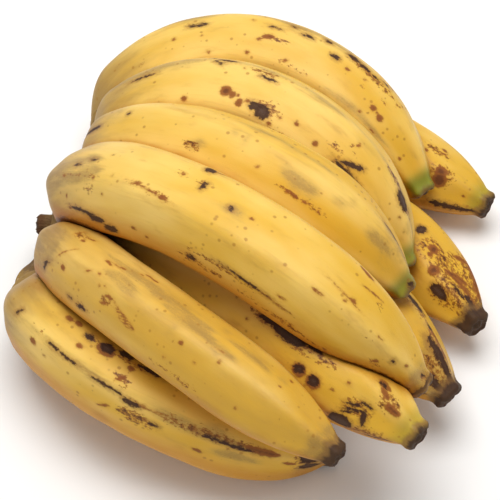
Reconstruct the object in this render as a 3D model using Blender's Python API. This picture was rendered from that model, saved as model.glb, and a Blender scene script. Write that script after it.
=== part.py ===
"""A hand of ripe plantains, cut from its stalk and lying on a table with the backs of its fingers up.

The crown is a short woody arc. An outer row of fingers rises from its top and arches forward, and an
inner row grows out under them. Each finger is its own object. Fingers that press on each other are
flattened where they meet, and those that touch the table have a narrow flat there.

Metres, +Z up, +X from the crown to the tips. The origin is under the middle of the hand, on the table.
"""

from collections import namedtuple
from math import cos, pi, radians, sin

import bmesh
import bpy
import numpy as np
from mathutils import Vector

# A finger grows from a root inside the crown. Its middle runs along HEADING, a turn about +Z from +X,
# and TILT degrees above level. It bends in one plane that leans LEAN degrees from upright, towards +Y.
# In that plane its direction falls from RISE to DROOP degrees. CURL above 1 puts more of the bend near
# the neck. GIRTH is the radius at the middle.
Finger = namedtuple("Finger", "name root heading tilt lean rise droop curl length girth")

FINGERS = (
    Finger("outer_finger_1", (-0.110, 0.037, 0.014), 4, -4, 46, 99, -35, 1.58, 0.228, 0.0212),
    Finger("outer_finger_2", (-0.100, 0.021, 0.023), -3, -5, 30, 87, -42, 1.32, 0.221, 0.0217),
    Finger("outer_finger_3", (-0.094, 0.008, 0.029), -2, -5, 2, 79, -36, 1.20, 0.220, 0.0217),
    Finger("outer_finger_4", (-0.092, -0.018, 0.032), -5, -6, -7, 81, -36, 1.25, 0.259, 0.0224),
    Finger("outer_finger_5", (-0.0822, -0.0400, 0.0325), -8, -5, -28, 78, -1, 2.65, 0.2175, 0.0187),
    Finger("outer_finger_6", (-0.088, -0.061, 0.023), 12, -15, -52, 77, -32, 1.30, 0.204, 0.0226),
    Finger("inner_finger_1", (-0.088, 0.029, 0.017), 11, -1, 83, 81, -15, 2.45, 0.215, 0.0222),
    Finger("inner_finger_2", (-0.085, 0.011, 0.018), -6, 1, 87, 63, -20, 1.65, 0.223, 0.0226),
    Finger("inner_finger_3", (-0.079, -0.004, 0.013), -10, -5, 34, 63, -11, 2.30, 0.220, 0.0230),
    Finger("inner_finger_4", (-0.079, -0.020, 0.014), -11, -6, -5, 55, 2, 1.95, 0.228, 0.0230),
    Finger("inner_finger_5", (-0.078, -0.036, 0.0125), 14, 0, -75, 72, -3, 2.20, 0.165, 0.0205),
)

# The crown: points along its arc, each with a radius, and the stub of stalk left on its outer side.
CROWN_ARC = (
    (-0.104, 0.036, 0.012, 0.0122),
    (-0.097, 0.022, 0.017, 0.0140),
    (-0.090, 0.006, 0.020, 0.0155),
    (-0.088, -0.016, 0.022, 0.0150),
    (-0.085, -0.038, 0.025, 0.0140),
    (-0.083, -0.052, 0.024, 0.0120),
)
STUB_START = (-0.088, -0.018, 0.024)
STUB_END = (-0.109, -0.030, 0.026)
STUB_RADIUS = 0.0056

# Fractions of a finger's length, and of its girth.
NECK_END = 0.16
NECK_RADIUS = 0.44
TAPER_START = 0.68
TAPER_LENGTH = 0.31
TAPER_DEPTH = 0.76
TIP_RADIUS = 0.30
TIP_BLEND = 0.08

RIDGES = 5
RIDGE_HEIGHT = 0.035

CLEARANCE = 0.0004
SEAT_GAP = 0.0012
PRESSES = 24

# Where the hand is put: its middle over the origin, and low enough to press flats where it rests.
PLACE = np.array((-0.0015, -0.0050, -0.0010))

STATIONS = 30
SEGMENTS = 20
CROWN_STATIONS = 28
CROWN_SEGMENTS = 20
NECK_SLIDE = 0.030
NECK_LIP = 0.0035
SEAT_SHARES = (0.04, 0.36, 0.68, 1.0)

PEEL = (0.93, 0.68, 0.18)
WOOD = (0.30, 0.20, 0.12)


def smooth_step(low, high, x):
    t = np.clip((x - low) / (high - low), 0, 1)
    return t * t * (3 - 2 * t)


def girth_along(finger, s):
    """Radius at the fraction s of the length: narrow neck, full body, taper to a short blunt tip."""
    neck = NECK_RADIUS + (1 - NECK_RADIUS) * smooth_step(0.01, NECK_END, s)
    taper = 1 - TAPER_DEPTH * np.clip((s - TAPER_START) / TAPER_LENGTH, 0, 1.2) ** 2.4
    blunt = (taper + TIP_RADIUS + np.sqrt((taper - TIP_RADIUS) ** 2 + TIP_BLEND**2)) / 2
    return finger.girth * neck * blunt


class Centreline:
    """A finger's bent middle line, worked out finely once and read back at any fraction of its length."""

    SAMPLES = 121

    def __init__(self, finger):
        heading, tilt, lean = radians(finger.heading), radians(finger.tilt), radians(finger.lean)
        along = np.array([cos(heading) * cos(tilt), sin(heading) * cos(tilt), sin(tilt)])
        aside = np.array([-sin(heading), cos(heading), 0.0])
        above = np.cross(along, aside)
        back = cos(lean) * above + sin(lean) * aside
        self.s = np.linspace(0, 1, self.SAMPLES)
        self.side = np.cross(back, along)
        angle = np.radians(finger.droop + (finger.rise - finger.droop) * (1 - self.s) ** finger.curl)
        self.forward = np.outer(np.cos(angle), along) + np.outer(np.sin(angle), back)
        self.outward = np.outer(-np.sin(angle), along) + np.outer(np.cos(angle), back)
        steps = (self.forward[1:] + self.forward[:-1]) / 2 * finger.length / (self.SAMPLES - 1)
        self.points = np.vstack([np.zeros(3), np.cumsum(steps, axis=0)]) + finger.root + PLACE
        self.radii = girth_along(finger, self.s)

    def at(self, s, rows):
        """One of the line's arrays read at the fractions s."""
        return np.stack([np.interp(s, self.s, rows[:, axis]) for axis in range(3)], axis=-1)


def distance_outside(points, centres, radii):
    """How far each point is outside a chain of balls, negative inside it."""
    gaps = np.linalg.norm(points[..., None, :] - centres, axis=-1) - radii
    return gaps.min(axis=-1)


def ridged(angle):
    """A section's radius around a finger: a soft-edged shape with a ridge along the back."""
    return 1 + RIDGE_HEIGHT * np.cos(RIDGES * angle)


def skin_at(finger, line, s, angle, share=1.0):
    """Points at fractions s of the length and angles around it, before anything presses.

    A share of 1 is the skin, and a smaller one is that part of the way out from the middle.
    """
    radius = (share * girth_along(finger, s) * ridged(angle))[..., None]
    outward = line.at(s, line.outward)
    around = np.cos(angle)[..., None] * outward + np.sin(angle)[..., None] * line.side
    return line.at(s, line.points) + radius * around


def neck_starts(finger, line, crown, share):
    """For each angle around the neck, the fraction of the length where it leaves the crown.

    No side of the neck starts more than NECK_LIP before its middle does, so none hangs past the crown.
    """
    s = np.linspace(0, NECK_SLIDE / finger.length, 121)[:, None]
    angle = np.linspace(0, 2 * pi, SEGMENTS, endpoint=False)[None, :]
    s, angle = np.broadcast_arrays(s, angle)
    inside = distance_outside(skin_at(finger, line, s, angle, share), *crown) < SEAT_GAP
    middle_inside = distance_outside(line.at(s[:, 0], line.points), *crown) < SEAT_GAP
    lowest = s[middle_inside, 0].max() - NECK_LIP / finger.length
    return np.maximum(np.where(inside, s, 0).max(axis=0), lowest)


def finger_rings(finger, line, crown, others):
    """The finger's rings of points, from its seat on the crown to the tip, pressed flat by its neighbours."""
    even = np.linspace(0, 1, STATIONS)
    fractions = even - np.sin(2 * pi * even) / (4 * pi)
    angles = np.linspace(0, 2 * pi, SEGMENTS, endpoint=False)
    s, angle = np.meshgrid(fractions, angles, indexing="ij")
    slide = neck_starts(finger, line, crown, 1.0)[None, :]
    reach = NECK_SLIDE / finger.length * 1.2
    on_neck = s < reach
    s = np.where(on_neck, slide + s * (1 - slide / reach), s)
    skin = skin_at(finger, line, s, angle)
    middle = line.at(s, line.points)
    inward = middle - skin
    depth_limit = np.linalg.norm(inward, axis=-1)
    inward /= depth_limit[..., None]
    depth = np.zeros_like(depth_limit)
    for _ in range(PRESSES):
        points = skin + depth[..., None] * inward
        own = distance_outside(points, line.points, line.radii)
        excess = np.where(on_neck, 0, CLEARANCE - distance_outside(points, *crown))
        for other in others:
            theirs = distance_outside(points, other.points, other.radii)
            excess = np.maximum(excess, (own - theirs + CLEARANCE) / 2)
        depth = np.clip(depth + np.maximum(excess, -depth), 0, 0.75 * depth_limit)
    points = skin + depth[..., None] * inward
    kept = (1 - depth / depth_limit)[0]
    seat = [
        skin_at(finger, line, neck_starts(finger, line, crown, share * kept), angles, share * kept)
        for share in SEAT_SHARES
    ]
    points = np.concatenate([seat, points[1:]])
    points[..., 2] = np.maximum(points[..., 2], 0)
    return points


def solid_from_rings(name, rings, colour, roughness):
    """A closed object skinned over rings of points, with a flat end on the first and last ring."""
    mesh = bmesh.new()
    loops = [[mesh.verts.new(point) for point in ring] for ring in rings]
    for near, far in zip(loops[:-1], loops[1:]):
        for i in range(len(near)):
            j = (i + 1) % len(near)
            mesh.faces.new((near[i], near[j], far[j], far[i]))
    mesh.faces.new(loops[0])
    mesh.faces.new(loops[-1])
    bmesh.ops.recalc_face_normals(mesh, faces=mesh.faces)
    data = bpy.data.meshes.new(name)
    mesh.to_mesh(data)
    mesh.free()
    solid = bpy.data.objects.new(name, data)
    bpy.context.scene.collection.objects.link(solid)
    material = bpy.data.materials.new(name)
    material.use_nodes = True
    surface = material.node_tree.nodes["Principled BSDF"]
    surface.inputs["Base Color"].default_value = (*colour, 1)
    surface.inputs["Roughness"].default_value = roughness
    data.materials.append(material)
    return solid


def crown_balls():
    """The crown as a chain of balls along a smooth arc through its points."""
    knots = np.array(CROWN_ARC)
    knots[:, :3] += PLACE
    at = np.linspace(0, len(knots) - 1, 61)
    fine = np.stack([np.interp(at, np.arange(len(knots)), knots[:, axis]) for axis in range(4)], axis=-1)
    for _ in range(30):
        fine[1:-1] = (fine[:-2] + 2 * fine[1:-1] + fine[2:]) / 4
    return fine[:, :3], fine[:, 3]


def crown_rings(centres, radii):
    """Rings around the crown's arc, with a domed end past each end of it."""
    turn = np.linspace(0, pi / 2, CROWN_SEGMENTS // 4 + 1)[1:-1]
    along = np.gradient(centres, axis=0)
    along /= np.linalg.norm(along, axis=1)[:, None]
    rows = np.linspace(0, len(centres) - 1, CROWN_STATIONS).round().astype(int)
    stations = [(centres[row], along[row], radii[row]) for row in rows]
    start, start_along, start_radius = stations[0]
    end, end_along, end_radius = stations[-1]
    first = [(start - start_along * start_radius * sin(t), start_along, start_radius * cos(t)) for t in turn[::-1]]
    last = [(end + end_along * end_radius * sin(t), end_along, end_radius * cos(t)) for t in turn]
    angles = np.linspace(0, 2 * pi, CROWN_SEGMENTS, endpoint=False)[:, None]
    rings = []
    for centre, direction, radius in first + stations + last:
        level = np.cross(direction, (0, 0, 1))
        level /= np.linalg.norm(level)
        ring = centre + radius * (np.cos(angles) * level + np.sin(angles) * np.cross(level, direction))
        ring[:, 2] = np.maximum(ring[:, 2], 0)
        rings.append(ring)
    return rings


def stub_balls():
    """The stub of stalk as a chain of balls."""
    centres = np.linspace(STUB_START, STUB_END, 21) + PLACE
    return centres, np.full(len(centres), STUB_RADIUS)


def build_crown(arc):
    """The crown with its stub of stalk joined on."""
    crown = solid_from_rings("crown", crown_rings(*arc), WOOD, 0.75)
    centres, _ = stub_balls()
    run = centres[-1] - centres[0]
    bpy.ops.mesh.primitive_cylinder_add(
        vertices=20, radius=STUB_RADIUS, depth=np.linalg.norm(run), location=(centres[0] + centres[-1]) / 2
    )
    stub = bpy.context.object
    stub.name = "stub_to_join"
    stub.rotation_mode = "QUATERNION"
    stub.rotation_quaternion = Vector(run).to_track_quat("Z", "Y")
    stub.hide_render = True
    stub.hide_viewport = True
    joined = crown.modifiers.new("join_stub", "BOOLEAN")
    joined.operation = "UNION"
    joined.object = stub
    return crown


def main():
    for thing in list(bpy.data.objects):
        bpy.data.objects.remove(thing)
    arc = crown_balls()
    stub = stub_balls()
    crown = np.vstack([arc[0], stub[0]]), np.concatenate([arc[1], stub[1]])
    build_crown(arc)
    lines = {finger.name: Centreline(finger) for finger in FINGERS}
    for finger in FINGERS:
        others = [line for name, line in lines.items() if name != finger.name]
        rings = finger_rings(finger, lines[finger.name], crown, others)
        solid_from_rings(finger.name, rings, PEEL, 0.45)


main()
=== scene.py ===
"""A hand of ripe plantains lying on a pale table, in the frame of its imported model.

Eleven fingers grow from one crown: an outer row of six and an inner row of five under it. Every piece is
a surface worked out with numpy from the same centrelines as the solids. Lengths are in metres, and
marks on the peel are in millimetres.
"""

from collections import namedtuple
from math import cos, pi, radians, sin

import bpy
import numpy as np
from bpy.props import FloatProperty, FloatVectorProperty, PointerProperty
from bpy.types import NodeSocket, Operator, Panel, PropertyGroup
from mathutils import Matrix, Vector


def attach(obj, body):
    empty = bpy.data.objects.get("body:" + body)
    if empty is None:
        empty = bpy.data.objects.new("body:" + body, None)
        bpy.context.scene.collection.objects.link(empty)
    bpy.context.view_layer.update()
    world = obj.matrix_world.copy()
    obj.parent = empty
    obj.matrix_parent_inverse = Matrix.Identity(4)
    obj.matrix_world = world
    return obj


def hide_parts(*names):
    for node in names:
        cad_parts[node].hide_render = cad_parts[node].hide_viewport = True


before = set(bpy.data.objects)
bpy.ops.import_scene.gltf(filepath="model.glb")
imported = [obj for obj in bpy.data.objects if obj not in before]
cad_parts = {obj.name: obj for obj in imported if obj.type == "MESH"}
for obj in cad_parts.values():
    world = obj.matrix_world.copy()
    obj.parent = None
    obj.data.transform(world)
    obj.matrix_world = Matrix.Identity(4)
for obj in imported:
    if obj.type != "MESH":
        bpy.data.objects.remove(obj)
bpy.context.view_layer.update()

bl_info = {
    "name": "Hand of Plantains",
    "version": (1, 0, 0),
    "blender": (4, 5, 0),
    "location": "3D View > Sidebar > Plantains",
    "description": "Builds a hand of ripe plantains, its crown and a plain studio",
    "category": "Add Mesh",
}

MM = 0.001

# A finger grows from a root inside the crown. Its middle runs along HEADING, a turn about +Z from +X,
# and TILT degrees above level. It bends in a plane that leans LEAN degrees from upright, towards +Y.
# In that plane its direction falls from RISE to DROOP degrees. CURL above 1 puts more of the bend near
# the neck. GIRTH is the radius at the middle. The values below were not chosen one by one: a
# least-squares fit worked them out, and they were then rounded and adjusted.
Finger = namedtuple("Finger", "name root heading tilt lean rise droop curl length girth")

OUTER_ROW = (
    Finger("outer_finger_1", (-0.110, 0.037, 0.014), 4, -4, 46, 99, -35, 1.58, 0.228, 0.0212),
    Finger("outer_finger_2", (-0.100, 0.021, 0.023), -3, -5, 30, 87, -42, 1.32, 0.221, 0.0217),
    Finger("outer_finger_3", (-0.094, 0.008, 0.029), -2, -5, 2, 79, -36, 1.20, 0.220, 0.0217),
    Finger("outer_finger_4", (-0.092, -0.018, 0.032), -5, -6, -7, 81, -36, 1.25, 0.259, 0.0224),
    Finger("outer_finger_5", (-0.0822, -0.0400, 0.0325), -8, -5, -28, 78, -1, 2.65, 0.2175, 0.0187),
    Finger("outer_finger_6", (-0.088, -0.061, 0.023), 12, -15, -52, 77, -32, 1.30, 0.204, 0.0226),
)
INNER_ROW = (
    Finger("inner_finger_1", (-0.088, 0.029, 0.017), 11, -1, 83, 81, -15, 2.45, 0.215, 0.0222),
    Finger("inner_finger_2", (-0.085, 0.011, 0.018), -6, 1, 87, 63, -20, 1.65, 0.223, 0.0226),
    Finger("inner_finger_3", (-0.079, -0.004, 0.013), -10, -5, 34, 63, -11, 2.30, 0.220, 0.0230),
    Finger("inner_finger_4", (-0.079, -0.020, 0.014), -11, -6, -5, 55, 2, 1.95, 0.228, 0.0230),
    Finger("inner_finger_5", (-0.078, -0.036, 0.0125), 14, 0, -75, 72, -3, 2.20, 0.165, 0.0205),
)

# The crown: points along its arc, each with a radius, and the stub of stalk left on its outer side.
CROWN_ARC = (
    (-0.104, 0.036, 0.012, 0.0122),
    (-0.097, 0.022, 0.017, 0.0140),
    (-0.090, 0.006, 0.020, 0.0155),
    (-0.088, -0.016, 0.022, 0.0150),
    (-0.085, -0.038, 0.025, 0.0140),
    (-0.083, -0.052, 0.024, 0.0120),
)
STUB_START = (-0.088, -0.018, 0.024)
STUB_END = (-0.109, -0.030, 0.026)
STUB_RADIUS = 0.0056

# The crown's skin: points along its arc, rings and rays, rings over each end, how far rays may reach in
# metres, and how softly the bodies it is blended from melt together, in metres.
ARC_POINTS = 61
ARC_SMOOTHINGS = 30
CROWN_ROWS = 110
CROWN_COLUMNS = 150
DOME_ROWS = 22
RAY_STEPS = 26
RAY_SHORTEST = 0.002
RAY_LONGEST = 0.045
CROWN_SOFTNESS = 0.0022

# The stub's skin: rings along it, rings across its cut end, and points around it.
STUB_ROWS = 70
STUB_CAP_ROWS = 14
STUB_COLUMNS = 96

# Where the hand is put, added to every root and crown point.
PLACE = np.array((-0.0015, -0.0050, -0.0010))

# Fractions of a finger's length, and of its girth.
NECK_END = 0.16
NECK_RADIUS = 0.44
TAPER_START = 0.68
TAPER_LENGTH = 0.31
TAPER_DEPTH = 0.76
TIP_RADIUS = 0.30
TIP_BLEND = 0.08
RIDGES = 5
RIDGE_HEIGHT = 0.035
PRESS_GAP = 0.0004

# The grid of a finger's skin, and the coarser one on which the presses are worked out.
ROWS = 290
CAP_ROWS = 10
COLUMNS = 168
PRESS_ROWS = 80
PRESS_COLUMNS = 48
PRESSES = 12
LINK_SPACING = 0.008

# Marks on the peel. ALONG is a share of the finger's length and AROUND is degrees from its back, positive
# towards its side. LONG and WIDE are the mark's size in mm, and TURN is degrees from the length.
# A spot is a round brown spot, soot a black bruise, fleck a patch of ragged brown flecks, and rub a grey
# and tan rubbed place. Most places were read off a computed grid. Those on outer_finger_5, and a few on
# outer_finger_4 and inner_finger_4, are the rounded output of a separate script.
Mark = namedtuple("Mark", "kind along around long wide turn", defaults=(0,))

MARKS = {
    "outer_finger_1": (
        ("rub", 0.34, -24, 34, 7), ("soot", 0.365, -42, 9, 2), ("rub", 0.60, -20, 60, 5),
        ("rub", 0.77, -88, 46, 5), ("spot", 0.315, -57, 2.4, 2.4), ("spot", 0.375, -62, 1.4, 1.2),
        ("spot", 0.475, -33, 2.4, 1.2), ("spot", 0.39, -88, 2.2, 1.8), ("spot", 0.48, -86, 3.0, 2.2),
        ("fleck", 0.23, -74, 4, 3), ("spot", 0.515, -56, 6.5, 3.6, 15), ("spot", 0.498, -63, 3.6, 2.0, 20),
        ("fleck", 0.54, -58, 13, 6), ("soot", 0.52, -38, 5, 1.2), ("soot", 0.555, -27, 3.2, 1.3),
        ("soot", 0.585, -33, 6, 1.8), ("soot", 0.625, -25, 4, 2), ("soot", 0.655, -42, 5, 2.8),
        ("soot", 0.67, -10, 3.5, 2), ("soot", 0.684, -25, 6.5, 3.0), ("soot", 0.712, -27, 6, 2.8),
        ("soot", 0.742, -28, 5, 1.4), ("spot", 0.69, -47, 2.8, 2.4), ("spot", 0.73, -42, 2, 1.4),
        ("soot", 0.765, -20, 4.5, 1.5), ("soot", 0.78, -8, 3.4, 1.4), ("fleck", 0.75, -30, 34, 6),
        ("spot", 0.57, -82, 2.6, 2), ("fleck", 0.59, -86, 24, 4), ("spot", 0.785, -65, 3.8, 3.6),
        ("spot", 0.81, -68, 4.2, 3.8), ("spot", 0.797, -66, 1.8, 1.8), ("spot", 0.77, -83, 1.8, 1.5),
        ("spot", 0.82, -90, 3, 1.2), ("fleck", 0.735, -53, 9, 4), ("spot", 0.82, -22, 2, 1.6),
        ("spot", 0.825, -8, 2, 1.6), ("spot", 0.905, -83, 2.2, 1.8), ("fleck", 0.79, -45, 4, 3),
    ),
    "outer_finger_2": (
        ("rub", 0.27, -14, 48, 8), ("soot", 0.245, -25, 13, 1.6), ("rub", 0.56, -8, 60, 6),
        ("soot", 0.39, -3, 1.8, 1.4), ("soot", 0.42, -8, 8, 1.8), ("soot", 0.405, -15, 5, 1.4, -30),
        ("spot", 0.46, -17, 1.6, 1.2), ("soot", 0.512, -22, 7, 1.6), ("fleck", 0.50, -14, 18, 6),
        ("spot", 0.445, -57, 6.2, 6.0), ("spot", 0.46, -60, 3.8, 4.2), ("spot", 0.48, -68, 3.8, 4.6),
        ("spot", 0.472, -59, 2, 2), ("spot", 0.496, -62, 2.8, 2.6), ("soot", 0.515, -65, 6, 4.6),
        ("soot", 0.535, -68, 7.6, 7.2), ("fleck", 0.545, -62, 16, 10), ("spot", 0.56, -78, 3.4, 2.2),
        ("spot", 0.575, -65, 2, 1.8), ("spot", 0.61, -60, 2.6, 2.4), ("spot", 0.665, -66, 3.2, 3.2),
        ("spot", 0.355, -73, 3.6, 3.2), ("fleck", 0.63, -82, 34, 5), ("fleck", 0.725, -30, 9, 4, 60),
        ("spot", 0.728, -28, 3, 1.8, 60), ("fleck", 0.705, -52, 11, 7), ("fleck", 0.735, -40, 6, 5),
        ("soot", 0.75, -52, 11, 2.8, 35), ("soot", 0.765, -65, 22, 3), ("rub", 0.93, -4, 40, 8),
        ("fleck", 0.82, -6, 18, 8), ("soot", 0.865, -12, 10, 7), ("fleck", 0.88, -8, 16, 11),
        ("spot", 0.89, -32, 1.6, 1.4), ("rub", 0.86, -8, 30, 7), ("rub", 0.72, -4, 40, 4),
    ),
    "outer_finger_3": (
        ("soot", 0.28, -2, 2.2, 1.8), ("soot", 0.17, -12, 14, 2.6), ("rub", 0.16, -10, 24, 9),
        ("rub", 0.47, -32, 9, 6, 50), ("fleck", 0.46, -36, 12, 8), ("rub", 0.555, -5, 4, 6),
        ("rub", 0.53, -3, 4, 4), ("spot", 0.60, -30, 2.4, 1.4, 40), ("spot", 0.675, -37, 4.2, 2.2, 10),
        ("spot", 0.69, -38, 3.2, 2), ("spot", 0.71, -38, 3, 1.6), ("fleck", 0.70, -37, 28, 5),
        ("spot", 0.74, -38, 1.8, 1.4), ("rub", 0.68, -20, 20, 9), ("rub", 0.78, 5, 4, 4),
        ("rub", 0.87, -14, 18, 9), ("rub", 0.62, 22, 50, 5), ("rub", 0.76, -12, 7, 5),
        ("soot", 0.90, 24, 20, 1.8), ("soot", 0.985, -4, 3.4, 2.8), ("rub", 0.90, 16, 24, 7),
    ),
    "outer_finger_4": (
        ("rub", 0.21, -20, 56, 17), ("rub", 0.27, -2, 13, 8), ("soot", 0.245, -12, 4.5, 2.2),
        ("soot", 0.275, -3, 4, 1.6), ("fleck", 0.25, -26, 38, 4), ("spot", 0.305, -28, 2.6, 1.6),
        ("spot", 0.22, -27, 3, 1.6), ("fleck", 0.295, -40, 8, 8), ("spot", 0.22, -52, 3, 1.8, 60),
        ("spot", 0.222, -68, 3, 2), ("soot", 0.265, -72, 22, 2.2, -12), ("soot", 0.30, -80, 12, 3.4, -8),
        ("soot", 0.335, -90, 10, 4), ("spot", 0.425, -23, 24, 1.4, -6), ("spot", 0.402, -20, 4, 2.2),
        ("spot", 0.457, -25, 4.4, 2.6), ("fleck", 0.43, -23, 28, 5), ("spot", 0.31, 10, 1.6, 1.4),
        ("soot", 0.485, 40, 5, 5.4), ("spot", 0.50, 42, 9, 1.2, 30), ("fleck", 0.455, 15, 10, 7),
        ("spot", 0.457, 16, 3.6, 2.2, -50), ("soot", 0.50, 12, 2.6, 6), ("fleck", 0.495, 14, 8, 9),
        ("spot", 0.40, -78, 3.6, 2.4), ("spot", 0.43, -84, 2.4, 1.8), ("rub", 0.565, 2, 11, 9),
        ("soot", 0.56, 2, 2.4, 2.4), ("spot", 0.595, 5, 2.4, 2.2), ("soot", 0.53, -81, 4, 3),
        ("soot", 0.612, -65, 13, 1.1), ("fleck", 0.60, -70, 44, 5), ("soot", 0.652, -66, 14, 1.2),
        ("spot", 0.695, -67, 20, 1.5), ("fleck", 0.55, -84, 30, 5),
        ("spot", 0.775, -4, 18, 1.0, -8), ("spot", 0.79, -3, 3.4, 2.6), ("spot", 0.78, -10, 1.8, 1.6),
        ("spot", 0.74, -22, 6, 1.6), ("spot", 0.70, -55, 4.4, 1.6), ("spot", 0.785, 46, 9, 2.4, -8),
        ("spot", 0.81, 28, 11, 1.2, 12), ("fleck", 0.83, 22, 9, 6), ("fleck", 0.84, -25, 6, 3),
        ("fleck", 0.885, -48, 8, 7), ("spot", 0.885, -47, 3.6, 2.4, 50), ("spot", 0.81, -82, 2.6, 1.8),
        ("soot", 0.905, -27, 1.8, 1.6), ("spot", 0.93, -15, 2.2, 1.8), ("spot", 0.86, -15, 3, 1),
        ("fleck", 0.975, 18, 8, 8), ("soot", 0.974, 16, 3.4, 1.6, 40), ("soot", 0.988, -8, 1.8, 18),
        ("rub", 0.97, -5, 13, 22),
        ("fleck", 0.72, -86, 60, 5), ("spot", 0.33, -45, 1.4, 1.4), ("spot", 0.345, -20, 1.2, 1.2),
    ),
    "outer_finger_5": (
        ("soot", 0.222, -29, 6, 2.4, 70), ("soot", 0.226, -24, 5, 1.0, 20), ("spot", 0.275, 8, 11, 0.9, 55),
        ("spot", 0.289, -14, 4.0, 3.4), ("fleck", 0.287, -14, 7, 6), ("spot", 0.237, 47, 7, 0.8, 80),
        ("spot", 0.279, 50, 5, 1.6, 20), ("spot", 0.272, 38, 3.2, 2), ("fleck", 0.25, 44, 14, 8),
        ("spot", 0.357, 5, 3.2, 1.3, 35), ("spot", 0.383, 11, 2.2, 1.4), ("spot", 0.371, 34, 6, 1.8, -12),
        ("spot", 0.39, 38, 7, 1.0), ("spot", 0.405, 41, 3.4, 1.4), ("spot", 0.463, 60, 8, 1.4),
        ("spot", 0.442, 54, 3, 1.2), ("spot", 0.432, -7, 5.4, 2.0, 8), ("spot", 0.424, -20, 4.4, 1.8, 20),
        ("fleck", 0.428, -14, 10, 7), ("spot", 0.40, -2, 1.4, 1.2), ("spot", 0.412, 2, 1.2, 1.1),
        ("spot", 0.468, -14, 9, 1.0, -22), ("spot", 0.478, -20, 11, 1.1, -18),
        ("spot", 0.492, -19, 9, 1.3, -22),
        ("spot", 0.487, -26, 8, 1.0, -12), ("spot", 0.506, -22, 5, 1.6, -30), ("soot", 0.368, -50, 7, 2.0),
        ("soot", 0.33, -48, 4, 1.6), ("fleck", 0.36, -47, 18, 5), ("rub", 0.50, 46, 70, 9),
        ("rub", 0.43, 22, 22, 9), ("rub", 0.60, 34, 34, 9),
        ("rub", 0.576, 49, 5, 3), ("rub", 0.587, 11, 4, 4), ("spot", 0.617, 2, 2.8, 2.4),
        ("rub", 0.665, 62, 5, 3.6), ("rub", 0.686, 27, 20, 6), ("spot", 0.69, 25, 5, 0.9),
        ("spot", 0.704, 11, 1.8, 2.6), ("spot", 0.661, -9, 1.8, 1.8), ("rub", 0.74, 50, 26, 7),
        ("rub", 0.821, 54, 8, 4), ("spot", 0.832, 70, 2, 1.6), ("spot", 0.827, 41, 1.8, 1.4),
        ("spot", 0.78, -30, 1.4, 1.4), ("spot", 0.60, -30, 1.4, 1.6), ("fleck", 0.63, -46, 30, 5),
        ("rub", 0.20, 0, 22, 26), ("rub", 0.96, -5, 12, 40),
    ),
    "outer_finger_6": (
        ("soot", 0.195, 12, 4.6, 1.8, 60), ("rub", 0.28, 10, 70, 4), ("soot", 0.315, 10, 6, 1.6),
        ("soot", 0.36, 8, 9, 1.4), ("fleck", 0.26, 15, 12, 5), ("soot", 0.45, 6, 14, 1.5),
        ("soot", 0.505, 2, 8, 3), ("spot", 0.53, 5, 15, 1.4), ("soot", 0.56, -12, 5, 2),
        ("spot", 0.265, -3, 4.2, 3.6), ("spot", 0.30, -10, 1.6, 1.6), ("spot", 0.36, 28, 3.4, 3),
        ("spot", 0.30, 48, 4.4, 3), ("spot", 0.325, 50, 4.4, 3), ("soot", 0.365, 45, 5, 3.4),
        ("soot", 0.41, 45, 7, 5.2), ("spot", 0.41, 42, 9, 6.5), ("soot", 0.45, 50, 8, 3),
        ("spot", 0.475, 38, 4, 3), ("soot", 0.51, 47, 12, 2.6), ("fleck", 0.44, 44, 34, 6),
        ("fleck", 0.47, 22, 11, 9), ("spot", 0.468, 22, 5, 2, 50), ("spot", 0.455, -22, 7, 2, 40),
        ("fleck", 0.52, -16, 20, 10), ("rub", 0.455, -48, 10, 10), ("soot", 0.30, -72, 4, 2),
        ("rub", 0.375, -60, 8, 4), ("rub", 0.64, 6, 38, 9), ("soot", 0.705, 3, 24, 2.2),
        ("fleck", 0.67, 5, 50, 9), ("spot", 0.655, -22, 5, 2.4), ("spot", 0.775, 6, 17, 4),
        ("rub", 0.73, -12, 22, 9), ("soot", 0.89, 8, 12, 6), ("soot", 0.905, -12, 12, 5),
        ("fleck", 0.90, 0, 26, 16), ("spot", 0.845, -5, 7, 2), ("rub", 0.92, 0, 24, 30),
    ),
    "inner_finger_1": (
        ("spot", 0.81, -85, 3.4, 2.8), ("spot", 0.845, -60, 3.6, 2.6), ("spot", 0.85, -68, 2.4, 2),
        ("spot", 0.825, -75, 1.8, 1.4), ("fleck", 0.83, -74, 14, 8), ("spot", 0.875, -118, 8, 9),
        ("spot", 0.87, -104, 7, 6), ("fleck", 0.875, -110, 18, 15), ("spot", 0.94, -125, 2, 1.8),
        ("fleck", 0.86, -72, 7, 6), ("soot", 0.94, -163, 30, 2.6), ("rub", 0.86, -25, 40, 6),
    ),
    "inner_finger_2": (
        ("soot", 0.765, -72, 5, 7), ("spot", 0.82, -80, 6, 6), ("spot", 0.825, -90, 3.4, 3),
        ("spot", 0.86, -104, 6, 6), ("spot", 0.865, -45, 8, 3.4, 40), ("spot", 0.90, -72, 13, 3.4, 35),
        ("spot", 0.925, -74, 26, 3, 14), ("spot", 0.905, -35, 16, 3), ("soot", 0.965, -80, 12, 3.6),
        ("fleck", 0.90, -70, 30, 26), ("fleck", 0.93, -50, 30, 20), ("fleck", 0.88, -95, 26, 12),
        ("soot", 0.90, -124, 10, 6), ("fleck", 0.93, -120, 26, 14), ("spot", 0.94, -40, 12, 3),
        ("fleck", 0.82, -84, 20, 16), ("soot", 0.93, -92, 9, 2),
    ),
    "inner_finger_3": (
        ("soot", 0.80, 6, 12, 5), ("fleck", 0.81, 2, 20, 12), ("soot", 0.86, -4, 4.6, 2.6),
        ("spot", 0.88, -5, 9, 3), ("soot", 0.94, -20, 30, 3.6), ("spot", 0.925, -4, 10, 2),
        ("fleck", 0.92, -8, 30, 10), ("rub", 0.94, -28, 36, 8), ("rub", 0.94, -60, 34, 20),
        ("soot", 0.955, -66, 14, 4), ("fleck", 0.94, -50, 26, 14),
    ),
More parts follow.
